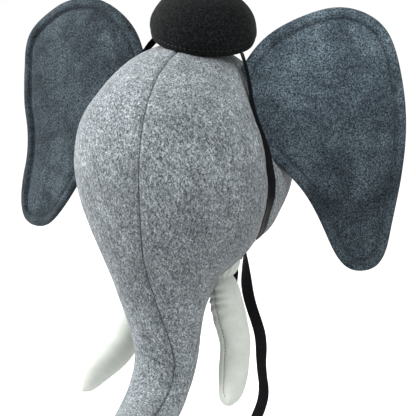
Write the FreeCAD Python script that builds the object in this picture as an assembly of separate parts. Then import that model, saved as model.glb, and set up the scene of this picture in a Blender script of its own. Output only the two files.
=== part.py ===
"""Wall-mounted stuffed elephant head with hat and chin ribbon.

Millimetres.  +Z up, the face looks along -Y, +X is the elephant's own left.
The origin is the middle of the backboard's rear face, which lies on the wall
plane y = 0.  Every soft piece is a plain closed solid of the right size and
place; the puffed and draped surfaces are finished elsewhere.
"""
import FreeCAD, Part
import math
import os

V = FreeCAD.Vector
X_AXIS = V(1, 0, 0)

# ---- driving dimensions -------------------------------------------------
FELT = 2.0                  # felt of the head, the trunk and the tusks
BOARD_RADIUS, BOARD_T = 71.5, 12.0
SKIN_START = -1.0           # the covers end 1 mm in front of the wall plane

# Head and trunk as ellipses square to the centre plane, from the board to the
# trunk tip: front point (y, z), rear point (y, z), half width, and how much
# wider (+) or narrower (-) the front or upper half is than the lower half.
STATIONS = [
    (SKIN_START, 76, SKIN_START, -76, 76, 0),
    (-32, 96, -26, -87, 90, -0.14),
    (-75, 114, -50, -97, 98, -0.15),
    (-125, 117, -72, -107, 103.5, -0.08),
    (-172, 101, -86, -115, 104, 0.0),
    (-206, 71, -94, -122, 96, 0.07),
    (-221, 29, -101, -129, 84, 0.05),
    (-223, -17, -110, -135, 66.5, 0.15),
    (-217, -63, -124, -143, 53, 0.12),
    (-208, -107, -133, -154, 42.5, 0.05),
    (-199, -146, -135, -170, 36, 0),
    (-193, -176, -138, -196, 32.5, 0),
    (-202, -199, -157, -222, 30.5, 0),
    (-235, -211, -202, -252, 28.5, 0),
    (-276, -215, -262, -264, 26, 0),
    (-300, -224, -293, -262, 18, 0),
    (-308, -237, -306, -251, 7, 0),
]

# Flexing place of the trunk: the lower part turns on a ball-shaped split.
BEND_Y, BEND_Z, BEND_R, BEND_GAP = -166.0, -188.0, 37.0, 0.5

# Ear: a flat pad.  Sweep turns it back, lean tips its top back.
EAR_ROOT = V(90, -98, 20)
EAR_SWEEP, EAR_LEAN = 20.0, 10.0
EAR_T, EAR_CLOTH = 12.0, 2.2
EAR_CLEAR = 3.2             # gap between the ear root and the head
EAR_EDGES = {
    "left": [(-34, 72), (-11, 103), (28, 126), (66, 134), (104, 117), (121, 80), (129, 26),
             (125, -33), (116, -84), (100, -120), (81, -122), (51, -84), (24, -37), (-3, -11)],
    "right": [(-40, 86), (-20, 110), (27, 131), (69, 126), (104, 106), (125, 82), (127, 40),
              (118, -5), (113, -42), (115, -85), (107, -113), (77, -116), (42, -98), (18, -62),
              (-3, -11)],
}

# Tusk centre line with the radius at each point.
TUSK = [(42, -106, -92, 16), (43, -112, -114, 15.5), (46, -116, -142, 16.8), (52, -122, -169, 16.8),
        (60, -133, -190, 16.2), (67, -150, -205, 15.2), (73, -171, -216, 13), (76, -185, -222, 9.5),
        (77, -192, -225, 5)]

# Hat: a round felt cap tipped forward and a little to the elephant's left.
HAT_AT = V(13, -88, 120)
HAT_FORWARD, HAT_SIDE = 8.0, 5.4
HAT_FELT, HEM_T, HEM_H = 2.5, 1.5, 11.0
HAT_PROFILE = [(50, 0), (52, 8), (51.5, 15), (49, 23), (44.5, 31), (36, 39), (23, 45), (9, 47.5)]
HAT_TOP = 48.0

# Ribbon: 12 mm wide.  The strap's line seen from the side, then the two tails.
RIBBON_W, RIBBON_T, RIBBON_GAP = 12.0, 1.0, 0.5
STRAP_SIDE = [(-105, 112), (-114, 98), (-121, 80), (-126, 50), (-127, 12), (-122, -28), (-106, -62),
              (-87, -92), (-79, -125)]
LEFT_SPAN = [(60, -104, 111.9), (71, -113, 96), (76.5, -121.4, 77.5)]      # free, hat to cheek
RIGHT_SPAN = [(-35, -104, 118.8), (-41, -107, 112.5), (-44.9, -109.4, 105.5)]
LEFT_SPAN_Z, RIGHT_SPAN_Z = 78.0, 106.0
KNOT_AT, KNOT_SIZE = V(50, -80, -102), (9.0, 6.5, 6.5)
LONG_TAIL = [(54, -110), (57, -135), (60, -159), (69, -194), (71, -229), (72, -262), (67, -283),
             (60, -302)]
SHORT_TAIL = [(45, -110), (43, -140), (44, -175), (46, -204)]
LONG_TAIL_Y, SHORT_TAIL_Y = -74.0, -84.0

# D-ring hanger in a pocket of the board.
POCKET = (44.0, 40.0, 6.0)  # width, height, depth
POCKET_Z, BAR_Z, BAR_Y = 47.0, 47.0, -3.6
WIRE_R, RING_R, RING_LEG = 1.0, 9.0, 3.0
KNUCKLE_R, KNUCKLE_BORE, KNUCKLE_L = 2.2, 1.3, 10.0
STRAP = (38.0, 17.0, 1.0)   # steel strap: width, height, thickness
SCREW_X, SCREW_Z, SCREW_R, SCREW_L = 14.0, 37.0, 1.5, 6.0
SCREW_HEAD_R, SCREW_HEAD_H = 3.2, 1.8


# ---- helpers ------------------------------------------------------------
def save(shape, node):
    shape.exportStep("parts/%s.step" % node)


def block(x0, x1, y0, y1, z0, z1):
    return Part.makeBox(x1 - x0, y1 - y0, z1 - z0, V(x0, y0, z0))


def mirrored(shape):
    return shape.mirror(V(0, 0, 0), X_AXIS)


def whole(half):
    return half.fuse(mirrored(half))


def biggest(shape):
    return max(shape.Solids, key=lambda s: s.Volume)


def inset_outline(points, by):
    """Points of a closed outline moved inward."""
    moved = []
    for i, (p, q) in enumerate(points):
        (p0, q0), (p1, q1) = points[i - 1], points[(i + 1) % len(points)]
        length = math.hypot(p1 - p0, q1 - q0)
        moved.append((p + by * (q1 - q0) / length, q - by * (p1 - p0) / length))
    return moved


def curve(points):
    line = Part.BSplineCurve()
    line.interpolate(Points=points)
    return line.toShape()


def head_loft(offset, tip_back=0.0):
    """Left half of the head and trunk body, grown or shrunk by offset."""
    wires = []
    for i, (fy, fz, by, bz, half, egg) in enumerate(STATIONS):
        shift = V(0, tip_back if i >= len(STATIONS) - 2 else 0, 0)
        front, rear = V(0, fy, fz), V(0, by, bz)
        centre = (front + rear) * 0.5 + shift
        reach = (front - rear) * 0.5
        reach = reach * ((reach.Length + offset) / reach.Length)
        pts = []
        for k in range(20):
            a = math.pi * k / 10
            x = (half + offset) * math.sin(a) * (1 + egg * math.cos(a))
            pts.append(centre + reach * math.cos(a) + V(x, 0, 0))
        arc = Part.BSplineCurve()
        arc.interpolate(Points=pts, PeriodicFlag=True)
        arc.segment(arc.FirstParameter, arc.parameter(pts[10]))
        wires.append(Part.Wire([arc.toShape(), Part.makeLine(pts[10], pts[0])]))
    return Part.makeLoft(wires, True, False, False)


def tube(stations, offset=0.0, tip_back=0.0):
    """Round tapering body along a centre line."""
    centres = [V(x, y, z) for x, y, z, r in stations]
    wires = []
    for i, (x, y, z, r) in enumerate(stations):
        before, after = centres[max(i - 1, 0)], centres[min(i + 1, len(centres) - 1)]
        along = (after - before).normalize()
        at = centres[i] - along * (tip_back if i >= len(stations) - 2 else 0)
        wires.append(Part.Wire([Part.Circle(at, along, max(r + offset, 1.5)).toShape()]))
    return Part.makeLoft(wires, True, False, False)


# ---- board and hanger ---------------------------------------------------
outer = head_loft(0.0)
inner = head_loft(-FELT, 2.0)

rear_disc = Part.makeCylinder(BOARD_RADIUS, -SKIN_START, V(0, SKIN_START, 0), V(0, 1, 0))
board = whole(inner.common(block(-150, 150, -BOARD_T, SKIN_START, -150, 150))).fuse(rear_disc)
pocket_w, pocket_h, pocket_d = POCKET
pocket = block(-pocket_w / 2, pocket_w / 2, -pocket_d, 1, POCKET_Z - pocket_h / 2,
               POCKET_Z + pocket_h / 2)
board = board.cut(pocket)

strap_w, strap_h, strap_t = STRAP
plate_face = -pocket_d + strap_t
plate = block(-strap_w / 2, strap_w / 2, -pocket_d, plate_face, BAR_Z - strap_h, BAR_Z - 2)
tongue = block(-KNUCKLE_L / 2, KNUCKLE_L / 2, -pocket_d, plate_face, BAR_Z - 3, BAR_Z)
knuckle = Part.makeCylinder(KNUCKLE_R, KNUCKLE_L, V(-KNUCKLE_L / 2, BAR_Y, BAR_Z), X_AXIS)
bore = Part.makeCylinder(KNUCKLE_BORE, KNUCKLE_L + 2, V(-KNUCKLE_L / 2 - 1, BAR_Y, BAR_Z), X_AXIS)
strap = plate.fuse(tongue).fuse(knuckle).cut(bore)

screws = []
for side in (-1, 1):
    at = V(side * SCREW_X, plate_face, SCREW_Z)
    shank = Part.makeCylinder(SCREW_R, SCREW_L, at, V(0, -1, 0))
    head = Part.makeCylinder(SCREW_HEAD_R, SCREW_HEAD_H, at, V(0, 1, 0))
    board, strap = board.cut(shank), strap.cut(shank)
    screws.append(shank.fuse(head).removeSplitter())

bar = Part.makeCylinder(WIRE_R, 2 * RING_R, V(-RING_R, BAR_Y, BAR_Z), X_AXIS)
ring = bar
for side in (-1, 1):
    corner = V(side * RING_R, BAR_Y, BAR_Z)
    ring = ring.fuse(Part.makeSphere(WIRE_R, corner))
    ring = ring.fuse(Part.makeCylinder(WIRE_R, RING_LEG, corner, V(0, 0, -1)))
arch_at = V(0, BAR_Y, BAR_Z - RING_LEG)
arch = Part.makeTorus(RING_R, WIRE_R, arch_at, V(0, 1, 0))
arch = arch.common(block(-20, 20, -10, 5, BAR_Z - 30, BAR_Z - RING_LEG))
ring = ring.fuse(arch)

save(board, "backboard")
save(strap, "hanger_strap")
save(ring, "hanger_ring")
save(Part.makeCompound(screws), "hanger_screws")

# ---- head and trunk -----------------------------------------------------
bend = V(0, BEND_Y, BEND_Z)
above = block(-150, 150, -330, 10, BEND_Z, 200)
below = block(-150, 150, -330, 10, -330, BEND_Z)
ball = Part.makeSphere(BEND_R, bend)
ball_room = Part.makeSphere(BEND_R + BEND_GAP, bend)


def head_part(body):
    return biggest(body.common(above).cut(ball_room))


def trunk_part(body):
    return biggest(body.common(below).fuse(body.common(above).common(ball)))


skin = outer.cut(inner)
filling = inner.cut(block(-150, 150, -BOARD_T, 10, -150, 150))
for cut_out, name in ((head_part, "head"), (trunk_part, "trunk")):
    panel = cut_out(skin)
    save(panel, name + "_cover_left")
    save(mirrored(panel), name + "_cover_right")
    save(whole(cut_out(filling)), name + "_stuffing")

# ---- ears ---------------------------------------------------------------
sweep, lean = math.radians(EAR_SWEEP), math.radians(EAR_LEAN)
ear_out = V(math.cos(sweep), math.sin(sweep), 0)
ear_up = V(0, 0, 1) * math.cos(lean) - ear_out.cross(V(0, 0, 1)) * math.sin(lean)
ear_face = ear_out.cross(ear_up)
ear_place = FreeCAD.Placement(EAR_ROOT, FreeCAD.Rotation(ear_out, ear_up, ear_face))


def ear_slab(outline, z0, z1):
    edge = curve([V(p, q, z0) for p, q in outline])
    root = Part.makeLine(V(*outline[-1], z0), V(*outline[0], z0))
    return Part.Face(Part.Wire([edge, root])).extrude(V(0, 0, z1 - z0))


half_t = EAR_T / 2
clear_of_head = head_loft(EAR_CLEAR)
for side, edge in EAR_EDGES.items():
    pad = ear_slab(inset_outline(edge, EAR_CLOTH), EAR_CLOTH - half_t, half_t - EAR_CLOTH)
    front = ear_slab(edge, 0, half_t).cut(pad)
    back = ear_slab(edge, -half_t, 0).cut(pad)
    for shape, name in ((front, "front"), (back, "back"), (pad, "wadding")):
        shape.Placement = ear_place
        shape = biggest(shape.cut(clear_of_head))
        save(shape if side == "left" else mirrored(shape), "ear_%s_%s" % (side, name))

# ---- tusks --------------------------------------------------------------
seat = head_loft(0.15)
tusk_body = biggest(tube(TUSK).cut(seat))
tusk_core = biggest(tube(TUSK, -FELT, FELT).cut(seat))
tusk_cover = tusk_body.cut(tusk_core)
for shape, name in ((tusk_cover, "cover"), (tusk_core, "stuffing")):
    save(shape, "tusk_left_" + name)
    save(mirrored(shape), "tusk_right_" + name)

# ---- hat ----------------------------------------------------------------
fwd, tip = math.radians(HAT_FORWARD), math.radians(HAT_SIDE)
hat_up = V(math.sin(tip), -math.sin(fwd) * math.cos(tip), math.cos(fwd) * math.cos(tip))
hat_across = V(0, 1, 0).cross(hat_up).normalize()
hat_place = FreeCAD.Placement(HAT_AT, FreeCAD.Rotation(hat_across, hat_up.cross(hat_across), hat_up))


def dome(inset):
    pts = [V(r - inset, 0, h) for r, h in HAT_PROFILE[:-2]]
    pts += [V(r - 0.6 * inset, 0, h - 0.8 * inset) for r, h in HAT_PROFILE[-2:]]
    top = V(0, 0, HAT_TOP - inset)
    side = curve(pts + [top])
    floor = Part.makeLine(V(0, 0, 0), pts[0])
    return Part.Face(Part.Wire([floor, side, Part.makeLine(top, V(0, 0, 0))])).revolve(
        V(0, 0, 0), V(0, 0, 1), 360)


head_room = head_loft(1.5)
hat_shell = dome(0).cut(dome(HAT_FELT))
band = block(-80, 80, -80, 80, 0.8, HEM_H)
hem = dome(HAT_FELT).common(band).cut(dome(HAT_FELT + HEM_T))
for shape, name in ((hat_shell, "hat_crown"), (hem, "hat_hem")):
    shape.Placement = hat_place.multiply(shape.Placement)
    save(biggest(shape.cut(head_room).cut(mirrored(head_room))), name)

# ---- ribbon -------------------------------------------------------------


def flat_strip(points, width, up_to):
    """Closed face of constant width along points in the X-Y plane."""
    left, right = [], []
    for i, p in enumerate(points):
        along = (points[min(i + 1, len(points) - 1)] - points[max(i - 1, 0)]).normalize()
        out = V(-along.y, along.x, 0) * (width / 2)
        left.append(p + out)
        right.append(p - out)
    a, b = curve(left), curve(right)
    ends = [Part.makeLine(left[0], right[0]), Part.makeLine(left[-1], right[-1])]
    outline = Part.Wire(Part.__sortEdges__([a, ends[1], b, ends[0]]))
    return Part.Face(outline).extrude(V(0, 0, up_to))


side_view = flat_strip([V(y, z, 0) for y, z in STRAP_SIDE], RIBBON_W, 320)
side_view.Placement = FreeCAD.Placement(V(-160, 0, 0), FreeCAD.Rotation(V(0, 1, 0), V(0, 0, 1), X_AXIS))
over_head = head_loft(RIBBON_GAP + RIBBON_T).cut(head_loft(RIBBON_GAP))
loop = side_view.common(over_head)


def free_span(points):
    """Flat strap from one point to the next, its width lying in the Y-Z plane."""
    points = [V(*p) for p in points]
    wires = []
    for i, p in enumerate(points):
        along = points[min(i + 1, len(points) - 1)] - points[max(i - 1, 0)]
        across = V(0, along.z, -along.y).normalize()
        thick = along.cross(across).normalize() * (RIBBON_T / 2)
        across = across * (RIBBON_W / 2)
        corners = [p + across + thick, p + across - thick, p - across - thick, p - across + thick]
        wires.append(Part.makePolygon(corners + corners[:1]))
    return Part.makeLoft(wires, True, True, False)


beside_knot = block(KNOT_AT.x + 4, 160, -160, -40, -160, LEFT_SPAN_Z)
under_knot = block(-1, KNOT_AT.x - 4, -160, -40, -160, -60)
far_side = mirrored(loop.common(block(-1, 160, -160, -40, -160, RIGHT_SPAN_Z)))
strap_left = loop.common(beside_knot).fuse(free_span(LEFT_SPAN))
strap_right = far_side.fuse(loop.common(under_knot)).fuse(free_span(RIGHT_SPAN))
stretch = FreeCAD.Matrix()
stretch.scale(*KNOT_SIZE)
knot = Part.makeSphere(1.0).transformGeometry(stretch)
knot.translate(KNOT_AT)
knot = biggest(knot.cut(head_loft(RIBBON_GAP)))
save(strap_left.cut(knot).cut(seat), "ribbon_left")
save(strap_right.cut(knot).cut(mirrored(seat)), "ribbon_right")
save(knot, "ribbon_knot")

upright = FreeCAD.Rotation(V(1, 0, 0), V(0, 0, 1), V(0, -1, 0))
for line, y, name in ((LONG_TAIL, LONG_TAIL_Y, "long"), (SHORT_TAIL, SHORT_TAIL_Y, "short")):
    tail = flat_strip([V(x, z, 0) for x, z in line], RIBBON_W, RIBBON_T)
    tail.Placement = FreeCAD.Placement(V(0, y, 0), upright)
    save(tail, "ribbon_tail_" + name)
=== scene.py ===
"""Looks of the wall-mounted stuffed elephant head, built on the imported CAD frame.

Shapes are worked out in millimetres in the row frame and written in metres.
+X is the elephant's own left, the face looks along -Y, the wall is y = 0.
"""

import math
import random

import bpy
import numpy as np
from mathutils import Matrix, Vector, noise
from mathutils.bvhtree import BVHTree
from mathutils.geometry import delaunay_2d_cdt


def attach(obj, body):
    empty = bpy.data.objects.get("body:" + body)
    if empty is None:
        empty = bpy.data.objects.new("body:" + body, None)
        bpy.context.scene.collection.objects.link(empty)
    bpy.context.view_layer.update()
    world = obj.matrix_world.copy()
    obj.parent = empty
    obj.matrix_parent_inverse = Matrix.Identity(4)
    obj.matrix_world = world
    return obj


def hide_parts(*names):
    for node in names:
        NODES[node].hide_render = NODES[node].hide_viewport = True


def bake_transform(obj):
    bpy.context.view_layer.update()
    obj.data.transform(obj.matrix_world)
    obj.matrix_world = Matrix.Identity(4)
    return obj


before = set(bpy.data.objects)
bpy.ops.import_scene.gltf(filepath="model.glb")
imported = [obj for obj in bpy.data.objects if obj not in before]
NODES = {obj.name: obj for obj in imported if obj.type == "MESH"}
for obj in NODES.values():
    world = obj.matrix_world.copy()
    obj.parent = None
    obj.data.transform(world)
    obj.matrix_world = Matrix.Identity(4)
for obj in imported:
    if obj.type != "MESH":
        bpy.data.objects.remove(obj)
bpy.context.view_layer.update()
MM = 0.001
random.seed(7)

# ---- the part's own dimensions, mm ---------------------------------------
# Head and trunk sections: front (y, z), rear (y, z), half width, egg shape.
STATIONS = np.array([
    (-1, 76, -1, -76, 76, 0),
    (-32, 96, -26, -87, 90, -0.14),
    (-75, 114, -50, -97, 98, -0.15),
    (-125, 117, -72, -107, 103.5, -0.08),
    (-172, 101, -86, -115, 104, 0.0),
    (-206, 71, -94, -122, 96, 0.07),
    (-221, 29, -101, -129, 84, 0.05),
    (-223, -17, -110, -135, 66.5, 0.15),
    (-217, -63, -124, -143, 53, 0.12),
    (-208, -107, -133, -154, 42.5, 0.05),
    (-199, -146, -135, -170, 36, 0),
    (-193, -176, -138, -196, 32.5, 0),
    (-202, -199, -157, -222, 30.5, 0),
    (-235, -211, -202, -252, 28.5, 0),
    (-276, -215, -262, -264, 26, 0),
    (-300, -224, -293, -262, 18, 0),
    (-308, -237, -306, -251, 7, 0),
], float)
BEND = np.array((0, -166, -188), float)

EAR_ROOT = np.array((90, -98, 20), float)
EAR_SWEEP, EAR_LEAN = math.radians(20), math.radians(10)
LEFT_EAR = [(-34, 72), (-11, 103), (28, 126), (66, 134), (104, 117), (121, 80), (129, 26),
            (125, -33), (116, -84), (100, -120), (81, -122), (51, -84), (24, -37), (-3, -11)]
RIGHT_EAR = [(-40, 86), (-20, 110), (27, 131), (69, 126), (104, 106), (125, 82), (127, 40),
             (118, -5), (113, -42), (115, -85), (107, -113), (77, -116), (42, -98), (18, -62),
             (-3, -11)]
EAR_HEM = 11.0              # the topstitching runs this far inside the edge

# Where each ear is sewn on, from the top of the fold to its lower end.
EAR_FOLD = np.array([(44, -93, 111), (56, -95, 98), (75, -100, 55), (84, -105, 33), (94, -110, 10),
                     (101, -112, -6)], float)

# Tusk centre lines with their radii: each is stuffed a little differently.
LEFT_TUSK = np.array([
    (42, -104, -90, 17), (42, -108, -104, 15.5), (40.5, -110, -117, 12.6), (44, -112, -128, 15),
    (47.5, -114, -140, 16.6), (53.5, -118, -159, 17), (61.5, -126, -182, 15.8),
    (64.5, -136, -194.5, 15.2), (67.5, -148, -203, 14.6), (71.5, -166, -212, 12.4),
    (74, -180, -216.5, 8.6), (76, -187, -217.5, 4.6)], float)
RIGHT_TUSK = np.array([
    (42, -106, -92, 15.5), (43, -112, -116, 15.5), (45, -117, -146, 16.5), (49, -122, -175, 16.6),
    (56, -130, -191, 16.6), (64, -140, -205, 16.4), (71, -152, -214, 15.4), (76, -166, -220, 13.5),
    (79, -180, -226, 10), (81, -188, -230.5, 5.5)], float)

TUSK_SEAT = np.array((54, -126, -98), float)

HAT_AT = np.array((13, -88, 120), float)
HAT_FORWARD, HAT_SIDE = math.radians(8), math.radians(7.4)
HAT_PROFILE = np.array([(50, 0), (52, 8), (51.5, 15), (49, 23), (44.5, 31), (36, 39), (23, 45),
                        (9, 47.5), (0, 48)], float)
HAT_FELT, HEM_H = 2.5, 11.0

RIBBON_W = 12.0
STUFFING_PRESSURE = 3.0
EAR_SWELL, TUSK_SWELL = 3.5, 1.6      # the most the stuffing may push the cloth out
# The tight strap down the left cheek, from the hat to the knot.
LEFT_STRAP = [(58, -103, 112), (64, -108, 100), (70, -113, 82), (75, -119, 62), (82, -126, 36),
              (90, -132, 12), (98, -135, -8), (101, -135, -26), (97, -130, -44), (88, -119, -60),
              (76, -105, -76), (64, -91, -91), (52, -80, -104)]


# ---- curves and small maths ----------------------------------------------
def cubic(knots, rows, at):
    """Natural cubic through rows at the knots, evaluated at many places."""
    knots, rows, at = np.asarray(knots, float), np.asarray(rows, float), np.asarray(at, float)
    n = len(knots)
    a, rhs = np.eye(n), np.zeros(rows.shape)
    for i in range(1, n - 1):
        before, after = knots[i] - knots[i - 1], knots[i + 1] - knots[i]
        a[i, i - 1:i + 2] = before, 2 * (before + after), after
        rhs[i] = 6 * ((rows[i + 1] - rows[i]) / after - (rows[i] - rows[i - 1]) / before)
    m = np.linalg.solve(a, rhs)
    i = np.clip(np.searchsorted(knots, at, side="right") - 1, 0, n - 2)
    h = (knots[i + 1] - knots[i])[:, None]
    p = (knots[i + 1] - at)[:, None] / h
    q = 1 - p
    return p * rows[i] + q * rows[i + 1] + ((p ** 3 - p) * m[i] + (q ** 3 - q) * m[i + 1]) * h * h / 6


def chord(points):
    steps = np.linalg.norm(np.diff(np.asarray(points, float), axis=0), axis=1)
    return np.concatenate(([0], np.cumsum(steps)))


def along(points, step):
    """The smooth curve through points, sampled every step."""
    knots = chord(points)
    fine = cubic(knots, points, np.linspace(0, knots[-1], max(3, int(knots[-1] / step * 3))))
    length = chord(fine)
    at = np.linspace(0, length[-1], max(3, int(round(length[-1] / step)) + 1))
    return np.stack([np.interp(at, length, fine[:, k]) for k in range(fine.shape[1])], axis=1)


def unit(v):
    return v / np.maximum(np.linalg.norm(v, axis=-1, keepdims=True), 1e-9)


def ramp(x, lo, hi):
    t = np.clip((np.asarray(x, float) - lo) / (hi - lo), 0, 1)
    return t * t * (3 - 2 * t)


def bell(d, width):
    return np.exp(-(np.asarray(d, float) / width) ** 2)


def lumps(points, size, seed):
    """Smooth noise of -1..1 at each point, with features about size across."""
    shift = Vector((seed * 7.31, seed * 3.17, seed * 5.77))
    flat = points.reshape(-1, 3) / size
    out = np.array([noise.noise(Vector(p) + shift) for p in flat])
    return out.reshape(points.shape[:-1])


def to_line(points, line):
    """Distance from 2-D or 3-D points to a polyline, and how far along it."""
    points = np.asarray(points, float)
    best = np.full(len(points), 1e9)
    place = np.zeros(len(points))
    reach = chord(line)
    for i in range(len(line) - 1):
        a, b = line[i], line[i + 1]
        ab = b - a
        t = np.clip((points - a) @ ab / max(ab @ ab, 1e-9), 0, 1)
        d = np.linalg.norm(points - (a + t[:, None] * ab), axis=1)
        near = d < best
        best[near] = d[near]
        place[near] = (reach[i] + t * math.sqrt(ab @ ab))[near]
    return best, place


# ---- meshes --------------------------------------------------------------
def new_object(name, verts, faces, smooth=True):
    mesh = bpy.data.meshes.new(name)
    mesh.from_pydata((np.asarray(verts, float) * MM).tolist(), [], [tuple(map(int, f)) for f in faces])
    mesh.validate()
    mesh.update()
    mesh.polygons.foreach_set("use_smooth", [smooth] * len(mesh.polygons))
    obj = bpy.data.objects.new(name, mesh)
    bpy.context.scene.collection.objects.link(obj)
    return obj


def grid_faces(rows, cols, wrap=False, flip=False, start=0):
    faces = []
    for i in range(rows - 1):
        for j in range(cols if wrap else cols - 1):
            k = (j + 1) % cols
            quad = (start + i * cols + j, start + i * cols + k,
                    start + (i + 1) * cols + k, start + (i + 1) * cols + j)
            faces.append(quad[::-1] if flip else quad)
    return faces


def grid_normals(grid, wrap=False):
    if wrap:
        across = np.roll(grid, -1, 1) - np.roll(grid, 1, 1)
    else:
        across = np.gradient(grid, axis=1)
    return unit(np.cross(np.gradient(grid, axis=0), across))


def apply_modifiers(obj):
    bpy.context.view_layer.update()
    evaluated = obj.evaluated_get(bpy.context.evaluated_depsgraph_get())
    mesh = bpy.data.meshes.new_from_object(evaluated)
    old = obj.data
    obj.modifiers.clear()
    obj.data = mesh
    bpy.data.meshes.remove(old)
    mesh.name = obj.name


def thicken(obj, thickness):
    """Gives a skin its cloth thickness, inward from the modelled face."""
    solid = obj.modifiers.new("cloth", "SOLIDIFY")
    solid.thickness = thickness * MM
    solid.offset = -1
    apply_modifiers(obj)


def swell(obj, sewn, pressure, cap):
    """Lets the stuffing press the cloth out between its sewn lines, by at most cap."""
    start = np.array([v.co for v in obj.data.vertices])
    pins = obj.vertex_groups.new(name="sewn")
    pins.add(np.flatnonzero(sewn).tolist(), 1.0, "REPLACE")
    cloth = obj.modifiers.new("swell", "CLOTH")
    rule = cloth.settings
    rule.quality = 6
    rule.mass = 0.2
    rule.tension_stiffness = rule.compression_stiffness = 14
    rule.shear_stiffness = 6
    rule.bending_stiffness = 0.4
    rule.use_pressure = True
    rule.uniform_pressure_force = pressure
    rule.vertex_group_mass = pins.name
    rule.effector_weights.gravity = 0
    cloth.collision_settings.use_collision = False
    cloth.point_cache.frame_start, cloth.point_cache.frame_end = 1, 20
    scene = bpy.context.scene
    for number in range(1, 21):
        scene.frame_set(number)
    posed = obj.evaluated_get(bpy.context.evaluated_depsgraph_get())
    move = np.array([v.co for v in posed.data.vertices]) - start
    far = np.linalg.norm(move, axis=1, keepdims=True)
    limit = cap * MM
    move = move * np.where(far > 1e-9, limit * np.tanh(far / limit) / np.maximum(far, 1e-9), 0)
    obj.modifiers.remove(cloth)
    obj.vertex_groups.remove(pins)
    scene.frame_set(1)
    obj.data.vertices.foreach_set("co", (start + move).ravel())
    obj.data.update()


def stitches(name, line, normals, length, gap, radius, lift, slant=0.0):
    """A run of separate thread stitches along a line."""
    reach = chord(line)
    count = int(reach[-1] // (length + gap))
    verts, faces = [], []
    sides, steps = 6, 5
    for i in range(count):
        s = np.linspace(0, length, steps) + (i + 0.5) * (length + gap) - length / 2
        path = np.stack([np.interp(s, reach, line[:, k]) for k in range(3)], axis=1)
        up = unit(np.stack([np.interp(s, reach, normals[:, k]) for k in range(3)], axis=1))
        ahead = unit(np.gradient(path, axis=0))
        side = unit(np.cross(ahead, up))
        t = np.linspace(-1, 1, steps)
        path = path + up * (lift * (1 - 0.9 * t[:, None] ** 4)) + side * (slant * t[:, None])
        fat = radius * (1 - 0.55 * t ** 4)
        start = len(verts)
        for p, u, r, w in zip(path, up, side, fat):
            for k in range(sides):
                a = 2 * math.pi * k / sides
                verts.append(p + u * (w * math.sin(a)) + r * (w * math.cos(a)))
        faces += grid_faces(steps, sides, wrap=True, flip=True, start=start)
        faces.append(tuple(range(start, start + sides)))
        faces.append(tuple(range(start + steps * sides - 1, start + (steps - 1) * sides - 1, -1)))
    return new_object(name, verts, faces)


# ---- materials -----------------------------------------------------------
class Look:
    """A procedural material, put together node by node."""

    def __init__(self, name, roughness, **sockets):
        self.material = bpy.data.materials.new(name)
        self.material.use_nodes = True
        self.tree = self.material.node_tree
        self.bsdf = self.tree.nodes["Principled BSDF"]
        self.bsdf.inputs["Roughness"].default_value = roughness
        for key, value in sockets.items():
            self.bsdf.inputs[key.replace("_", " ")].default_value = value
        self.place = self.tree.nodes.new("ShaderNodeTexCoord").outputs["Object"]

    def node(self, kind, inputs=None, **settings):
        made = self.tree.nodes.new("ShaderNode" + kind)
        for key, value in settings.items():
            setattr(made, key, value)
        for key, value in (inputs or {}).items():
            if isinstance(value, bpy.types.NodeSocket):
                self.tree.links.new(value, made.inputs[key])
            else:
                made.inputs[key].default_value = value
        return made

    def stretched(self, x, y, z):
        return self.node("Mapping", {"Vector": self.place, "Scale": (x, y, z)}).outputs["Vector"]

    def fibres(self, squeeze, lean):
        """Coordinates that draw noise out into fibres leaning from the vertical."""
        turned = self.node("Mapping", {"Vector": self.place, "Rotation": (
            0, math.radians(lean), math.radians(35))}).outputs["Vector"]
        return self.node("Mapping", {"Vector": turned, "Scale": (1, 1, squeeze)}).outputs["Vector"]

    def across(self, axis, low, high):
        """0 to 1 over a stretch of the object along one axis, in metres."""
        split = self.node("SeparateXYZ", {"Vector": self.place})
        return self.node("MapRange", {"Value": split.outputs[axis], "From Min": low,
                                      "From Max": high}).outputs["Result"]

    def speckle(self, size, detail=3.0, rough=0.6, distortion=0.0, place=None):
        """Noise with features about size millimetres across."""
        return self.node("TexNoise", {
            "Vector": place or self.place, "Scale": 1000.0 / size, "Detail": detail,
            "Roughness": rough, "Distortion": distortion}).outputs["Fac"]

    def colours(self, fac, *stops):
        made = self.node("ValToRGB", {"Fac": fac})
        ramp_ = made.color_ramp
        while len(ramp_.elements) < len(stops):
            ramp_.elements.new(0.5)
        for element, (at, colour) in zip(ramp_.elements, stops):
            element.position = at
            element.color = (*colour, 1)
        return made.outputs["Color"]

    def mix(self, a, b, fac, how="MIX"):
        made = self.node("Mix", data_type="RGBA", blend_type=how)
        for socket, value in ((made.inputs[0], fac), (made.inputs[6], a), (made.inputs[7], b)):
            if isinstance(value, bpy.types.NodeSocket):
                self.tree.links.new(value, socket)
            else:
                socket.default_value = value
        return made.outputs[2]

    def bump(self, *layers):
        """Layers of (height, strength, distance in mm)."""
        last = None
        for height, strength, distance in layers:
            inputs = {"Height": height, "Strength": strength, "Distance": distance * MM}
            if last is not None:
                inputs["Normal"] = last
            last = self.node("Bump", inputs).outputs["Normal"]
        self.tree.links.new(last, self.bsdf.inputs["Normal"])

    def colour(self, socket):
        self.tree.links.new(socket, self.bsdf.inputs["Base Color"])
        return self.material


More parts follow.
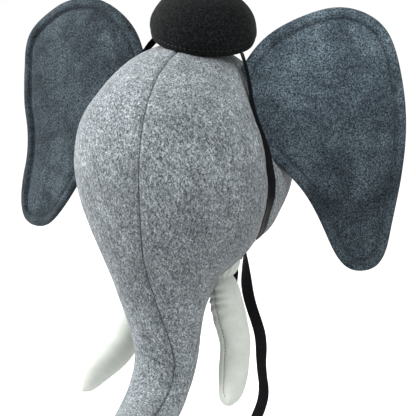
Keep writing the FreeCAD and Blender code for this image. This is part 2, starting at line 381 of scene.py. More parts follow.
def marled_felt():
    look = Look("marled_grey_felt", 0.95, Sheen_Weight=0.08, Sheen_Roughness=0.6, Specular_IOR_Level=0.1)
    fleck = look.speckle(2.3, 5, 0.78, 0.25, look.fibres(0.5, 24))
    fine = look.speckle(1.5, 3, 0.85, 0.1, look.fibres(0.75, -20))
    patch = look.speckle(20, 4, 0.65, 0.4, look.fibres(0.6, 24))
    base = look.colours(fleck, (0.34, (0.050, 0.060, 0.066)), (0.46, (0.108, 0.123, 0.132)),
                        (0.55, (0.170, 0.189, 0.200)), (0.68, (0.292, 0.317, 0.330)))
    grain = look.colours(fine, (0.37, (0.14, 0.14, 0.14)), (0.49, (1, 1, 1)), (0.66, (1.88, 1.88, 1.88)))
    tone = look.colours(patch, (0.3, (0.70, 0.70, 0.71)), (0.7, (1.24, 1.24, 1.23)))
    mixed = look.mix(look.mix(base, grain, 1.0, "MULTIPLY"), tone, 1.0, "MULTIPLY")
    # Painted shade: the felt is darkened in a band low on the head, darkest near z = -72 mm, where the head
    # turns away from the lamps; above and below it the tone is dimmed only slightly.
    low_head_painted_shade = look.colours(look.across("Z", -0.28, 0.12), (0.0, (0.92,) * 3), (0.30, (0.92,) * 3),
                       (0.52, (0.66,) * 3), (0.62, (0.70,) * 3), (0.78, (0.88,) * 3))
    look.bump((fleck, 0.35, 0.8), (fine, 0.5, 0.5))
    return look.colour(look.mix(mixed, low_head_painted_shade, 1.0, "MULTIPLY"))


def velour(name, axis, low, high, *painted_shade_stops):
    """Plush with painted shade: its colour is darkened and lightened along one axis of the ear."""
    look = Look(name, 0.9, Sheen_Weight=0.06, Sheen_Roughness=0.35,
                Sheen_Tint=(0.62, 0.72, 0.80, 1), Specular_IOR_Level=0.08)
    brushed = look.speckle(34, 3, 0.55, 0.6)
    streak = look.speckle(9, 3, 0.6, 0.4)
    pile = look.speckle(1.5, 3, 0.85)
    base = look.colours(brushed, (0.36, (0.022, 0.030, 0.037)), (0.5, (0.033, 0.045, 0.054)),
                        (0.66, (0.050, 0.066, 0.077)))
    soft = look.colours(streak, (0.3, (0.86, 0.86, 0.86)), (0.7, (1.14, 1.14, 1.14)))
    nap = look.colours(pile, (0.38, (0.15, 0.15, 0.15)), (0.5, (1, 1, 1)), (0.62, (2.7, 2.7, 2.7)))
    mixed = look.mix(look.mix(base, soft, 1.0, "MULTIPLY"), nap, 1.0, "MULTIPLY")
    # Painted shade: this ramp darkens and lightens the plush along the axis, standing in for the light
    # falling across the ear and the shadow of its fold.
    depth = look.colours(look.across(axis, low, high), *((at, (shade,) * 3) for at, shade in painted_shade_stops))
    look.bump((pile, 0.6, 0.8))
    return look.colour(look.mix(mixed, depth, 1.0, "MULTIPLY"))


def white_felt():
    look = Look("ivory_felt", 0.9, Sheen_Weight=0.05, Sheen_Roughness=0.6, Specular_IOR_Level=0.1)
    cloud = look.speckle(14, 3, 0.6)
    fine = look.speckle(0.9, 3, 0.7)
    base = look.colours(cloud, (0.3, (0.345, 0.363, 0.337)), (0.7, (0.405, 0.425, 0.397)))
    grain = look.colours(fine, (0.3, (0.90, 0.90, 0.89)), (0.7, (1.06, 1.06, 1.06)))
    look.bump((fine, 0.3, 0.35), (cloud, 0.2, 0.8))
    return look.colour(look.mix(base, grain, 1.0, "MULTIPLY"))


def black_felt():
    look = Look("black_felt", 0.93, Sheen_Weight=0.02, Sheen_Roughness=0.5, Specular_IOR_Level=0.06)
    fleck = look.speckle(3.0, 4, 0.7, 0.6)
    fine = look.speckle(1.5, 3, 0.8)
    base = look.colours(fleck, (0.35, (0.0004, 0.0006, 0.0006)), (0.65, (0.0034, 0.0040, 0.0042)))
    grain = look.colours(fine, (0.40, (0.05, 0.05, 0.05)), (0.60, (3.2, 3.2, 3.2)))
    look.bump((fleck, 0.5, 0.9), (fine, 0.5, 0.5))
    return look.colour(look.mix(base, grain, 1.0, "MULTIPLY"))


def satin():
    look = Look("black_satin", 0.5, Specular_IOR_Level=0.036, Anisotropic=0.4)
    ribs = look.node("TexNoise", {"Vector": look.stretched(0.3, 0.3, 6.0), "Scale": 260.0,
                                  "Detail": 2.0}).outputs["Fac"]
    base = look.colours(ribs, (0.35, (0.0022, 0.0022, 0.0029)), (0.65, (0.0046, 0.0046, 0.0057)))
    look.bump((ribs, 0.15, 0.2))
    return look.colour(base)


def thread(name, colour):
    look = Look(name, 0.7)
    twist = look.speckle(0.6, 2, 0.5)
    dark = tuple(0.7 * c for c in colour)
    light = tuple(1.25 * c for c in colour)
    look.bump((twist, 0.5, 0.15))
    return look.colour(look.colours(twist, (0.35, dark), (0.65, light)))


def fibreboard():
    look = Look("raw_fibreboard", 0.85)
    fibre = look.speckle(1.6, 5, 0.75, 0.5)
    patch = look.speckle(18, 3, 0.6)
    base = look.colours(fibre, (0.3, (0.22, 0.145, 0.085)), (0.5, (0.32, 0.225, 0.14)),
                        (0.7, (0.42, 0.31, 0.205)))
    tone = look.colours(patch, (0.3, (0.88, 0.88, 0.87)), (0.7, (1.08, 1.08, 1.08)))
    look.bump((fibre, 0.4, 0.3))
    return look.colour(look.mix(base, tone, 1.0, "MULTIPLY"))


def zinc():
    look = Look("zinc_steel", 0.38, Metallic=1.0)
    grain = look.speckle(0.7, 3, 0.6, 0, look.stretched(0.2, 1, 1))
    spangle = look.speckle(3.5, 2, 0.5)
    base = look.colours(spangle, (0.35, (0.50, 0.51, 0.52)), (0.65, (0.66, 0.66, 0.65)))
    look.bump((grain, 0.12, 0.1))
    return look.colour(base)


def dress(obj, material):
    obj.data.materials.clear()
    obj.data.materials.append(material)


FELT, IVORY, BLACK, SATIN = marled_felt(), white_felt(), black_felt(), satin()
# Lit and shaded copies of one plush, by painted shade: the +X ear is painted darker low down and lighter
# towards its top; the -X ear, nearer the key lamp, is painted down to about half its brightness.
VELOUR = {
    "ear_left": velour("blue_grey_velour_left_painted_shade", "Z", -0.10, 0.15, (0.0, 0.60), (0.25, 0.52),
                       (0.45, 0.72), (0.62, 0.95), (0.9, 1.25)),
    "ear_right": velour("blue_grey_velour_right_painted_shade", "X", -0.21, -0.05, (0.0, 0.46), (0.3, 0.50),
                        (0.7, 0.54), (1.0, 0.46))}
DARK_THREAD = thread("charcoal_thread", (0.022, 0.025, 0.030))
TAN_THREAD = thread("tan_thread", (0.17, 0.14, 0.10))
NAVY_THREAD = thread("slate_thread", (0.012, 0.016, 0.021))
BLACK_THREAD = thread("black_thread", (0.001, 0.001, 0.001))


# ---- camera --------------------------------------------------------------
def add_camera():
    azimuth, elevation, distance = math.radians(20), math.radians(18), 1200.0
    target = Vector((26.6, -110, -46.4)) * MM
    away = Vector((math.sin(azimuth) * math.cos(elevation), -math.cos(azimuth) * math.cos(elevation),
                   math.sin(elevation)))
    data = bpy.data.cameras.new("camera")
    data.sensor_width = 36
    data.lens = 36 * distance / 416
    data.clip_end = 20
    camera = bpy.data.objects.new("camera", data)
    camera.location = target + away * distance * MM
    camera.rotation_euler = (-away).to_track_quat("-Z", "Y").to_euler()
    bpy.context.scene.collection.objects.link(camera)
    bpy.context.scene.camera = camera


add_camera()

# ---- ear plane -----------------------------------------------------------
EAR_OUT = np.array((math.cos(EAR_SWEEP), math.sin(EAR_SWEEP), 0))
EAR_UP = (np.array((0, 0, 1)) * math.cos(EAR_LEAN)
          - np.cross(EAR_OUT, (0, 0, 1)) * math.sin(EAR_LEAN))
EAR_FACE = np.cross(EAR_OUT, EAR_UP)


def ear_rise(p, q):
    """How far the ear's middle surface bows forward to meet the fold it is sewn into."""
    root = -3 - 0.37 * (q + 11)
    return (8.7 - 0.125 * q) * bell(np.maximum(p - root, 0), 34)


# ---- head and trunk ------------------------------------------------------
RINGS, COLUMNS = 320, 122
SECTION_KNOTS = chord(STATIONS[:, :5] * 0.5)


def seam_angle(s):
    """The front seam wanders to the elephant's left at the crown and down the trunk."""
    k = SECTION_KNOTS
    return (math.radians(38) * ramp(s, k[8], k[12])
            + math.radians(7) * (1 - ramp(s, k[2], k[4] + 6)))


def head_grid(side):
    """One felt panel: rows run from the board to the trunk tip, columns from seam to seam."""
    s = np.linspace(0, SECTION_KNOTS[-1], RINGS)
    rows = cubic(SECTION_KNOTS, STATIONS, s)
    front = np.stack([0 * s, rows[:, 0], rows[:, 1]], 1)[:, None]
    rear = np.stack([0 * s, rows[:, 2], rows[:, 3]], 1)[:, None]
    half, egg = rows[:, 4][:, None], rows[:, 5][:, None]
    v = np.linspace(0, 1, COLUMNS)[None]
    v = v - 0.62 * np.sin(2 * math.pi * v) / (2 * math.pi)
    seam = seam_angle(s)[:, None]
    a = seam + (math.pi - seam) * v if side > 0 else seam - (math.pi + seam) * v
    centre, reach = (front + rear) / 2, (front - rear) / 2
    wide = half * np.sin(a) * (1 + egg * np.cos(a))
    sway = 2.0 * ramp(s, SECTION_KNOTS[8], SECTION_KNOTS[10])[:, None]
    grid = centre + reach * np.cos(a)[..., None] + (wide + sway)[..., None] * np.array((1.0, 0, 0))
    tip = grid[-1:]
    middle = centre[-1:, 0:1] + np.array((2.0, 0, 0))
    ahead = unit((centre[-1] - centre[-6]))[None]
    rounding = [middle + (tip - middle) * math.sqrt(1 - t * t) + ahead * (3 * t)
                for t in (0.35, 0.6, 0.8, 0.92, 0.985)]
    return np.concatenate([grid] + rounding, axis=0)


def shaped_head(side):
    grid = head_grid(side)
    normal = grid_normals(grid) * side
    steps = np.linalg.norm(np.diff(grid, axis=1), axis=2)
    from_front = np.concatenate((np.zeros((len(grid), 1)), np.cumsum(steps, axis=1)), axis=1)
    from_rear = from_front[:, -1:] - from_front
    flat = grid.reshape(-1, 3)

    # The fold each ear is sewn into: the cheek falls away towards it.
    fold = along(EAR_FOLD * (side, 1, 1), 2.0)
    _, place = to_line(flat, fold)
    reach = chord(fold)
    near = np.stack([np.interp(place, reach, fold[:, k]) for k in range(3)], axis=1)
    n = normal.reshape(-1, 3)
    off = flat - near
    depth = np.einsum("ij,ij->i", off, n)
    lateral = np.linalg.norm(off - depth[:, None] * n, axis=1)
    front_side = ramp(-off[:, 1], -4, 4)
    width = 13 + 17 * front_side
    fade = ramp(flat[:, 2], -22, 14) * (1 - ramp(flat[:, 2], 112, 124)) * (flat[:, 0] * side > 0)
    sink = np.clip(depth, 0, 22) * bell(lateral, width) * fade
    moved = flat - n * sink[:, None]

    # Behind the ear the head lies back, clear of the ear's rear cloth.
    rel = moved * (side, 1, 1) - EAR_ROOT
    p, q, h = rel @ EAR_OUT, rel @ EAR_UP, rel @ EAR_FACE
    root = -3 - 0.37 * (q + 11)
    over = h - (ear_rise(p, q) - 8.5)
    inside = ramp(p - root, -2, 7) * ramp(q, -24, -8) * (1 - ramp(q, 92, 104))
    back = np.clip(over, 0, 30) * inside * (moved[:, 0] * side > 0)
    moved = moved - (EAR_FACE * (side, 1, 1)) * back[:, None]

    # The strap presses a groove into the left cheek; each tusk's base pulls the felt in.
    press = 4.5 * bell(np.linalg.norm(moved - TUSK_SEAT * (side, 1, 1), axis=1), 30)
    if side > 0:
        away, _ = to_line(moved, along(LEFT_STRAP, 2.0))
        press += 3.2 * bell(away, 10) * (1 - ramp(moved[:, 2], 40, 75))
    moved = moved - n * press[:, None]
    grid = moved.reshape(grid.shape)
    normal = grid_normals(grid) * side

    # Seams, lumps in the stuffing and the creases where the trunk bends.
    s = np.arange(len(grid))[:, None]
    pull = bell(from_front, 1.3) * 1.5 + bell(from_front, 5.5) * 0.9
    pull += bell(from_rear, 1.3) * 1.5 + bell(from_rear, 6) * 1.2
    girth = from_front[:, -1:]
    pull = pull * ramp(girth, 14, 70)
    pucker = np.sin(s * 2.55 + 1.4 * np.sin(s * 0.31)) * bell(from_front, 7) * 0.16
    soft = lumps(grid, 46, 1) * 1.5 + lumps(grid, 17, 2) * 0.45
    inner = np.clip(np.cos((from_front / np.maximum(girth, 1)) * math.pi), -1, 0)
    crease_at = grid[:, :, 2] * 0.86 - grid[:, :, 1] * 0.5
    crease = np.sin(crease_at * 0.62 + 3 * lumps(grid, 40, 4)) * 0.9
    crease *= -inner * bell(np.linalg.norm(grid - BEND, axis=2), 46)
    grid = grid + normal * (soft - pull + pucker + crease)[..., None]
    return grid


def head_panel(side, name):
    grid = shaped_head(side)
    faces = grid_faces(*grid.shape[:2], flip=side > 0)
    obj = new_object(name, grid.reshape(-1, 3), faces)
    return obj, grid


felt_left, left_grid = head_panel(1, "felt_left")
felt_right, right_grid = head_panel(-1, "felt_right")
SKIN = BVHTree.FromPolygons(
    [Vector(p) for g in (left_grid, right_grid) for p in g.reshape(-1, 3)],
    grid_faces(*left_grid.shape[:2], flip=True)
    + grid_faces(*right_grid.shape[:2], start=left_grid.shape[0] * left_grid.shape[1]))


def seam_line(column):
    line = (left_grid[:, column] + right_grid[:, column]) / 2
    normal = unit(grid_normals(left_grid)[:, column] - grid_normals(right_grid)[:, column])
    return line, normal


front_line, front_normal = seam_line(0)
rear_line, rear_normal = seam_line(-1)
seam_front = stitches("seam_stitches_front", front_line, front_normal, 2.9, 1.2, 0.42, 0.35, 0.25)
seam_rear = stitches("seam_stitches_under", rear_line, rear_normal, 2.9, 1.2, 0.42, 0.35, 0.25)

for obj, side in ((felt_left, "left"), (felt_right, "right")):
    thicken(obj, 1.6)
    dress(obj, FELT)
    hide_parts("head_cover_" + side, "trunk_cover_" + side)
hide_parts("head_stuffing", "trunk_stuffing")
for obj in (seam_front, seam_rear):
    dress(obj, DARK_THREAD)


# ---- ears ----------------------------------------------------------------
# How far inside the edge each row of the ear's mesh runs: closest about the topstitching.
EDGE_ROWS = (0.35, 1.0, 2.0, 3.2, 4.7, 6.2, 7.6, 8.7, 9.6, 10.3, 10.8, 11.2, 11.8, 12.6, 13.8, 15.6,
             18.2)


def ear_outline(shape):
    """Closed outline in the ear plane, and its free edge alone."""
    edge = along(np.array(shape, float), 3.0)
    end, start = np.array(shape[-1], float), np.array(shape[0], float)
    bow = [end + (start - end) * t - np.array((5.5, 0)) for t in (0.08, 0.3, 0.5, 0.7, 0.92)]
    root = along(np.array([end] + bow + [start]), 3.0)[1:-1]
    return np.concatenate((edge, root)), edge, root


def ear_points(outline):
    """Points that fill the outline: rows that follow the edge, then an even fill."""
    after, before = np.roll(outline, -1, 0), np.roll(outline, 1, 0)
    tangent = unit(after - before)
    inward = np.stack([tangent[:, 1], -tangent[:, 0]], axis=1)
    closed = np.concatenate((outline, outline[:1]))
    points = [outline]
    for d in EDGE_ROWS:
        ring = outline + inward * d
        away, _ = to_line(ring, closed)
        points.append(ring[away > d - 0.12 - 0.01 * d])
    x0, y0 = outline.min(0)
    x1, y1 = outline.max(0)
    fill = [(x + (1.4 if j % 2 else 0), y) for j, y in enumerate(np.arange(y0, y1, 2.4))
            for x in np.arange(x0, x1, 2.8)]
    fill = np.array([f for f in fill if inside(f, outline)])
    away, _ = to_line(fill, closed)
    points.append(fill[away > 20.5])
    return np.concatenate(points)


def inside(point, outline):
    x, y = point
    a, b = outline, np.roll(outline, -1, 0)
    crosses = (a[:, 1] > y) != (b[:, 1] > y)
    rise = np.where(np.abs(b[:, 1] - a[:, 1]) < 1e-9, 1e-9, b[:, 1] - a[:, 1])
    return (crosses & (x < (b[:, 0] - a[:, 0]) * (y - a[:, 1]) / rise + a[:, 0])).sum() % 2 == 1


def ear_thickness(edge_away, root_away):
    hem = 4.0 * np.sqrt(np.clip(1 - ((np.minimum(edge_away, 5.2) - 5.2) / 5.2) ** 2, 0, 1))
    hem = hem - 3.2 * ramp(edge_away, 7.4, EAR_HEM)
    panel = 0.8 + 5.6 * (1 - np.exp(-np.clip(edge_away - EAR_HEM, 0, None) / 6.5))
    half = np.where(edge_away < EAR_HEM, hem, panel)
    return half * (0.42 + 0.58 * ramp(root_away, 0, 26))


def ear_place(points, side, lift):
    """Ear-plane points to the row frame; lift is measured forward of the middle surface."""
    p, q = points[:, 0], points[:, 1]
    rise = ear_rise(p, q) + lift
    out = (EAR_ROOT + p[:, None] * EAR_OUT + q[:, None] * EAR_UP + rise[:, None] * EAR_FACE)
    return out * (side, 1, 1)


def make_ear(side, name, shape, waves):
    outline, edge, root = ear_outline(shape)
    points = ear_points(outline)
    count = len(outline)
    loop = [(i, (i + 1) % count) for i in range(count)]
    flat, _, tris, _, _, _ = delaunay_2d_cdt([Vector(p) for p in points], loop, [], 1, 1e-6)
    flat = np.array([tuple(v) for v in flat])
    edge_away, _ = to_line(flat, edge)
    root_away, _ = to_line(flat, root)
    half = ear_thickness(edge_away, root_away)
    rim = np.minimum(edge_away, root_away) < 1e-3
    half[rim] = 0
    drift = waves(flat)
    front = ear_place(flat, side, drift + half)
    back = ear_place(flat, side, drift - half)
    inner = np.flatnonzero(~rim)
    back_index = np.arange(len(flat))
    back_index[inner] = len(flat) + np.arange(len(inner))
    faces = [t[::side] for t in tris] + [tuple(back_index[list(t)])[::-side] for t in tris]
    obj = new_object(name, np.concatenate((front, back[inner])), faces)
    sewn = (edge_away < EAR_HEM + 0.4) | (root_away < 10)
    swell(obj, np.concatenate((sewn, sewn[inner])), STUFFING_PRESSURE, EAR_SWELL)
    return obj, edge


def ear_waves(seed):
    """How far the ear's middle surface drifts from its plane."""
    def wave(flat):
        p, q = flat[:, 0], flat[:, 1]
        space = np.stack([p, q, 0 * p], axis=1)
        amount = ramp(p, 0, 60)
        return (lumps(space, 55, seed) * 3.2 + lumps(space, 24, seed + 1) * 0.9) * amount
    return wave


def topstitch(name, side, edge, waves, face):
    """Stitches round the free edge, on the front (face 1) or the rear (face -1)."""
    tangent = unit(np.gradient(edge, axis=0))
    inward = np.stack([tangent[:, 1], -tangent[:, 0]], axis=1)
    line = (edge + inward * EAR_HEM)[3:-3]
    lift = waves(line) + face * 1.25
    place = ear_place(line, side, lift)
    normals = np.tile(EAR_FACE * (side, 1, 1) * face, (len(place), 1))
    fine = along(place, 1.0)
    return stitches(name, fine, np.tile(normals[0], (len(fine), 1)), 2.6, 1.3, 0.36, 0.3)


for side, body, shape, seed in ((1, "ear_left", LEFT_EAR, 11), (-1, "ear_right", RIGHT_EAR, 23)):
    waves = ear_waves(seed)
    ear, edge = make_ear(side, body + "_pad", shape, waves)
    dress(ear, VELOUR[body])
    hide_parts(body + "_front", body + "_back", body + "_wadding")
    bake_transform(ear)
    for face, label in ((1, "front"), (-1, "back")):
        run = topstitch("%s_topstitch_%s" % (body, label), side, edge, waves, face)
        dress(run, NAVY_THREAD)
        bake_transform(run)


# ---- tusks ---------------------------------------------------------------
TUSK_SIDES, TUSK_COLUMN = 84, 10          # columns round a tusk, and the seam's own
TUSK_SEAM = 2 * math.pi * TUSK_COLUMN / TUSK_SIDES


def make_tusk(side, name, stations):
    knots = chord(stations[:, :3])
    s = np.linspace(0, knots[-1], 170)
    rows = cubic(knots, stations, s)
    centre, radius = rows[:, :3] * (side, 1, 1), rows[:, 3]
    ahead = unit(np.gradient(centre, axis=0))
    lead = unit(np.cross(ahead, (side * 1.0, 0.25, 0)))
    other = np.cross(ahead, lead)
    sides = TUSK_SIDES
    a = np.linspace(0, 2 * math.pi, sides, endpoint=False)
    end = knots[-1] - s
    fat = np.where(end < 9, radius * np.sqrt(np.clip(1 - ((9 - end) / 9.6) ** 2, 0.02, 1)), radius)
    seam_front, seam_rear = (
        np.abs((a[None] - at - TUSK_SEAM + math.pi) % (2 * math.pi) - math.pi) * fat[:, None]
        for at in (0, math.pi))
    cut = bell(seam_front, 1.0) * 1.1 + bell(seam_front, 3.5) * 0.8
    cut += bell(seam_rear, 1.0) * 0.9 + bell(seam_rear, 3.5) * 0.7
    r = fat[:, None] * np.ones_like(a)[None]
    ring = centre[:, None] + r[..., None] * (np.cos(a)[None, :, None] * lead[:, None]
                                             + np.sin(a)[None, :, None] * other[:, None])
    n = unit(ring - centre[:, None])
    pinch = bell(s - 27, 4)[:, None] * 0.8
    gather = np.sin(a * 15)[None] * bell(s - 16, 12)[:, None] * 0.9
    crumple = np.sin(s * 0.62 + 2 * np.sin(s * 0.13))[:, None] * bell(seam_front - 6, 7)
    crumple = crumple * bell(s - 52, 24)[:, None]
    soft = lumps(ring, 22, 31) * 0.7 + np.sin(s * 0.9)[:, None] * bell(seam_front, 6) * 0.12 + 1.15 * crumple
    ring = ring + n * (soft - cut * np.minimum(1, fat / 9)[:, None] - pinch + gather)[..., None]
    verts = np.concatenate((ring.reshape(-1, 3), centre[:1], centre[-1:] + ahead[-1:] * 1.2))
    faces = grid_faces(len(s), sides, wrap=True)
    first, last = len(verts) - 2, len(verts) - 1
    for j in range(sides):
        k = (j + 1) % sides
        faces.append((first, k, j))
        faces.append((last, (len(s) - 1) * sides + j, (len(s) - 1) * sides + k))
    obj = new_object(name, verts, faces)
    sewn = (np.minimum(seam_front, seam_rear) < 1.6) | (s < 26)[:, None] | (end < 4)[:, None]
    swell(obj, np.concatenate((sewn.ravel(), (True, True))), STUFFING_PRESSURE, TUSK_SWELL)
    return obj, ring, n


for side, label, stations in ((1, "left", LEFT_TUSK), (-1, "right", RIGHT_TUSK)):
    tusk, ring, n = make_tusk(side, "tusk_%s_felt" % label, stations)
    dress(tusk, IVORY)
    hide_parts("tusk_%s_cover" % label, "tusk_%s_stuffing" % label)
    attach(tusk, "head")
    for column, place in ((TUSK_COLUMN, "front"), (TUSK_COLUMN + 42, "rear")):
        run = stitches("tusk_%s_seam_%s" % (label, place), ring[6:-4, column], n[6:-4, column],
                       2.4, 1.3, 0.38, 0.25, 0.2)
        dress(run, TAN_THREAD)
        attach(run, "head")


# ---- hat -----------------------------------------------------------------
hat_up = np.array((math.sin(HAT_SIDE), -math.sin(HAT_FORWARD) * math.cos(HAT_SIDE),
                   math.cos(HAT_FORWARD) * math.cos(HAT_SIDE)))
hat_across = unit(np.cross((0, 1, 0), hat_up))
hat_back = np.cross(hat_up, hat_across)


HAT_STITCH_H = 5.6          # the hem's stitches, above the rim


def hat_space(r, h, a):
    return (HAT_AT + (r * np.cos(a))[..., None] * hat_across + (r * np.sin(a))[..., None] * hat_back
            + h[..., None] * hat_up)


def hat_profile(step):
    return along(HAT_PROFILE, step)


def make_hat():
    profile = hat_profile(1.2)
    lip = np.array([(47.4, 2.0), (47.2, 0.7), (48.0, -0.3), (49.3, -0.45)])
    inner = np.array([(r - HAT_FELT, h) for r, h in profile if r > 6 and h > HEM_H])
    inside_band = np.array([(47.6, HEM_H - 0.2), (47.0, HEM_H - 1.4), (47.3, 6.0), (47.4, 3.5)])
    line = np.concatenate((inner[::-1], inside_band, lip, profile[:-1]))
    a = np.linspace(0, 2 * math.pi, 168, endpoint=False)
    r, h = line[:, 0][:, None], line[:, 1][:, None]
    ring = hat_space(r + 0 * a, h + 0 * a, a[None] + 0 * r)
    space = np.stack([r * np.cos(a), r * np.sin(a), h + 0 * a], axis=-1)
    dent = lumps(space, 34, 41) * 1.3 + lumps(space, 15, 42) * 0.5
    outer = (np.arange(len(line)) > len(inner) + 7)[:, None]
    hem_line = bell(np.where(outer, h - HAT_STITCH_H, 99), 0.9)
    out = unit(np.stack([np.cos(a), np.sin(a), 0 * a], axis=-1))[None]
    push = dent * ramp(h, -1, 10) - hem_line * 1.3
    side = out[..., 0:1] * hat_across + out[..., 1:2] * hat_back
    ring = ring + side * push[..., None]
    verts = np.concatenate((ring.reshape(-1, 3), [HAT_AT + hat_up * (48 - HAT_FELT)], [HAT_AT + hat_up * 48]))
    sides, rows = len(a), len(line)
    faces = grid_faces(rows, sides, wrap=True)
    first, last = len(verts) - 2, len(verts) - 1
    for j in range(sides):
        k = (j + 1) % sides
        faces.append((first, k, j))
        faces.append((last, (rows - 1) * sides + j, (rows - 1) * sides + k))
    return new_object("hat_felt", verts, faces)


hat = make_hat()
dress(hat, BLACK)
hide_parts("hat_crown", "hat_hem")
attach(hat, "hat")
a = np.linspace(0, 2 * math.pi, 300)
hem_place = hat_space(51.35 + 0 * a, HAT_STITCH_H + 0 * a, a)
hem_out = np.cos(a)[:, None] * hat_across + np.sin(a)[:, None] * hat_back
hat_stitches = stitches("hat_hem_stitches", hem_place - hem_out * 0.55, hem_out, 3.0, 1.5, 0.4, 0.3)
dress(hat_stitches, BLACK_THREAD)
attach(hat_stitches, "hat")


# ---- ribbon --------------------------------------------------------------
def ribbon_mesh(name, centre, across, width=RIBBON_W, thickness=0.45, cup=0.0, hug=None):
    """A flat ribbon along centre; hug lays it on the felt, that far off."""
    columns = 9
    t = np.linspace(-0.5, 0.5, columns)
    ahead = unit(np.gradient(centre, axis=0))
    across = unit(across - np.einsum("ij,ij->i", across, ahead)[:, None] * ahead)
    normal = np.cross(across, ahead)
    wide = np.broadcast_to(width, len(centre))
    grid = centre[:, None] + across[:, None] * (wide[:, None] * t[None])[..., None]
    grid = grid + normal[:, None] * (cup * (1 - 4 * t * t))[None, :, None]
    if hug is not None:
        for i in range(grid.shape[0]):
            for j in range(columns):
                place, n, _, _ = SKIN.find_nearest(Vector(grid[i, j]))
                above = (Vector(grid[i, j]) - place).dot(n)
                held = 1.0 if above < 0.7 else hug[i]
                grid[i, j] += held * (np.array(place + n * 0.7) - grid[i, j])
    edge = np.clip(np.minimum(t + 0.5, 0.5 - t) * RIBBON_W / 0.8, 0, 1)
    bulge = thickness / 2 * (1.35 - 0.35 * edge)
    top = grid + normal[:, None] * bulge[None, :, None]
    low = grid - normal[:, None] * bulge[None, :, None]
    loop = np.concatenate((top, low[:, ::-1]), axis=1)
    rows, sides = loop.shape[:2]
    faces = grid_faces(rows, sides, wrap=True)
    faces.append(tuple(range(sides))[::-1])
    faces.append(tuple(range((rows - 1) * sides, rows * sides)))
    return new_object(name, loop.reshape(-1, 3), faces)


def strap(name, points, widths, free_to, held_from, stand):
    """A strap near the cheek: free above one height, on the felt below another.

    widths give the ribbon's width direction at each point, and stand is how
    far off the felt the free stretch keeps.
    """
    both = np.concatenate((np.array(points, float), np.array(widths, float)), axis=1)
    line = along(both, 2.0)
    centre, across = line[:, :3].copy(), line[:, 3:]
    hug = 1 - ramp(centre[:, 2], held_from, free_to)
    for i, held in enumerate(hug):
        place, n, _, _ = SKIN.find_nearest(Vector(centre[i]))
        above = (Vector(centre[i]) - place).dot(n)
        free = centre[i] if above > stand else np.array(place + n * stand)
        centre[i] = free + held * (np.array(place + n * 0.7) - free)
    for _ in range(6):
        centre[1:-1] = (centre[:-2] + 2 * centre[1:-1] + centre[2:]) / 4
    return ribbon_mesh(name, centre, across, hug=hug)


LEFT_WIDTH = [(.15, -1, 0), (.15, -1, 0), (.12, -1, 0), (0, -1, 0), (-.25, -1, 0), (-.45, -.9, 0),
              (-.5, -.87, 0), (-.5, -.87, .1), (-.45, -.85, .3), (-.4, -.8, .45), (-.4, -.8, .5),
              (-.5, -.7, .5), (-.5, -.7, .5)]
ribbon_left = strap("ribbon_strap_left", LEFT_STRAP, LEFT_WIDTH, 0, -50, 1.2)
# From inside the hat, down behind the right cheek and under it to the knot.
RIGHT_STRAP = [(-27, -90, 132), (-30, -91, 126), (-34, -92, 118), (-39, -95, 112),
               (-44, -97, 106), (-62, -102, 88), (-82, -108, 62),
               (-96, -110, 35), (-104, -112, 5), (-104, -112, -25), (-94, -106, -50), (-76, -98, -72),
               (-54, -92, -92), (-26, -88, -106), (0, -86, -112), (26, -84, -110), (41.5, -81, -104)]
RIGHT_WIDTH = [(0, -.85, .5), (0, -.85, .5), (0, -.85, .5), (0, -.85, .5), (0, -.9, .4),
               (0, -.95, .3), (0, -1, .2), (0, -1, 0),
               (0, -1, 0), (0, -1, .1), (.1, -.95, .25), (.1, -.9, .4), (.1, -.95, .3), (0, -1, .2),
               (0, -1, 0), (0, -1, 0), (0, -1, 0)]
ribbon_right = strap("ribbon_strap_right", RIGHT_STRAP, RIGHT_WIDTH, 112, 96, 2.5)


def turned(points, angles):
    """Width directions for a hanging tail, by the angle turned about its own length."""
    at = np.linspace(0, 1, len(angles))
    turn = np.radians(np.interp(np.linspace(0, 1, len(points)), at, angles))
    return np.stack([np.cos(turn), np.sin(turn), 0 * turn], axis=1)


LONG_TAIL = np.array([(54, -74, -105), (55, -74, -120), (56.5, -74, -138), (61, -74, -159),
                      (72, -74, -194), (74, -74, -229), (76.5, -74, -262), (71.5, -74, -283),
                      (64, -74, -302)], float)
SHORT_TAIL = np.array([(46.5, -83, -103.5), (44.5, -84, -121), (43, -84, -140), (44, -84, -175),
                       (46, -84, -204)], float)
tail = along(LONG_TAIL, 2.0)
tail_long = ribbon_mesh("ribbon_tail_long_satin", tail,
                        turned(tail, (95, 60, 18, 8, 10, 20, 50, 58, 35, 20, 25)), cup=0.4)
tail = along(SHORT_TAIL, 2.0)
# The short tail is drawn in where it leaves the knot.
gathered = RIBBON_W * (0.45 + 0.55 * ramp(-tail[:, 2], 106, 124))
tail_short = ribbon_mesh("ribbon_tail_short_satin", tail, turned(tail, (10, 25, 30, 10, -10)),
                         width=gathered, cup=0.4)


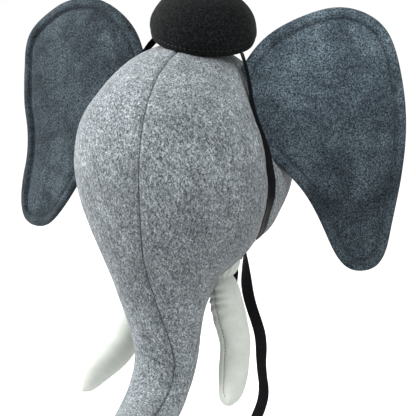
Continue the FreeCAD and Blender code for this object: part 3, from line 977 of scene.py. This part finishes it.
def make_knot():
    """The knot: a soft ball of folded ribbon with wraps running round it."""
    rows, sides = 48, 72
    lat = np.linspace(-math.pi / 2 + 0.03, math.pi / 2 - 0.03, rows)[:, None]
    lon = np.linspace(0, 2 * math.pi, sides, endpoint=False)[None]
    x, y, z = np.sin(lat) + 0 * lon, np.cos(lat) * np.cos(lon), np.cos(lat) * np.sin(lon)
    wrap = (0.09 * np.sin(3.4 * lon + 5 * x) * np.cos(lat) + 0.10 * np.cos(9 * x)
            + 0.05 * np.sin(13 * lon + 7 * x))
    grid = np.stack([x * 8.2, y * 5.6, z * 5.6], axis=-1) * (0.92 + wrap)[..., None]
    tilt = np.array(Matrix.Rotation(math.radians(-32), 3, "Y"))
    grid = grid @ tilt.T + np.array((50, -80, -102.5))
    verts = np.concatenate((grid.reshape(-1, 3), grid[:1].mean(1), grid[-1:].mean(1)))
    faces = grid_faces(rows, sides, wrap=True)
    first, last = len(verts) - 2, len(verts) - 1
    for j in range(sides):
        k = (j + 1) % sides
        faces.append((first, k, j))
        faces.append((last, (rows - 1) * sides + j, (rows - 1) * sides + k))
    return new_object("ribbon_knot_satin", verts, faces)


knot = make_knot()
for obj, node, body in ((ribbon_left, "ribbon_left", "head"), (ribbon_right, "ribbon_right", "head"),
                        (tail_long, "ribbon_tail_long", "tail_long"),
                        (tail_short, "ribbon_tail_short", "tail_short"), (knot, "ribbon_knot", "head")):
    dress(obj, SATIN)
    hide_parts(node)
    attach(obj, body)

for obj in (felt_left, felt_right, seam_front, seam_rear):
    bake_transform(obj)

# ---- board and hanger keep their CAD shapes ------------------------------
WOOD, STEEL = fibreboard(), zinc()
for node, material in (("backboard", WOOD), ("hanger_strap", STEEL), ("hanger_ring", STEEL),
                       ("hanger_screws", STEEL)):
    NODES[node].data.materials.clear()
    NODES[node].data.materials.append(material)


# ---- studio --------------------------------------------------------------
def studio():
    scene = bpy.context.scene
    scene.view_settings.view_transform = "Standard"
    world = bpy.data.worlds.new("studio")
    world.use_nodes = True
    world.node_tree.nodes["Background"].inputs["Color"].default_value = (1, 1, 1, 1)
    world.node_tree.nodes["Background"].inputs["Strength"].default_value = 1.04
    scene.world = world
    mesh = bpy.data.meshes.new("floor")
    reach, height = 6, -0.62
    mesh.from_pydata([(-reach, -reach, height), (reach, -reach, height), (reach, reach, height),
                      (-reach, reach, height)], [], [(0, 1, 2, 3)])
    floor = bpy.data.objects.new("floor", mesh)
    scene.collection.objects.link(floor)
    look = Look("pale_floor", 0.9)
    cloud = look.speckle(400, 2, 0.5)
    look.colour(look.colours(cloud, (0.3, (0.95, 0.95, 0.95)), (0.7, (0.97, 0.97, 0.97))))
    mesh.materials.append(look.material)
    middle = Vector((0.0, -0.12, -0.05))
    for name, azimuth, elevation, distance, size, power in (
            ("key", -78, 28, 1.3, 0.9, 38), ("rim", -130, 20, 1.2, 0.7, 2), ("fill", 45, 45, 1.3, 0.9, 11),
            ("top", 10, 75, 1.3, 0.8, 6)):
        data = bpy.data.lights.new(name, "AREA")
        data.shape, data.size, data.energy = "SQUARE", size, power
        light = bpy.data.objects.new(name, data)
        az, el = math.radians(azimuth), math.radians(elevation)
        away = Vector((math.sin(az) * math.cos(el), -math.cos(az) * math.cos(el), math.sin(el)))
        light.location = middle + away * distance
        light.rotation_euler = (-away).to_track_quat("-Z", "Y").to_euler()
        scene.collection.objects.link(light)


studio()
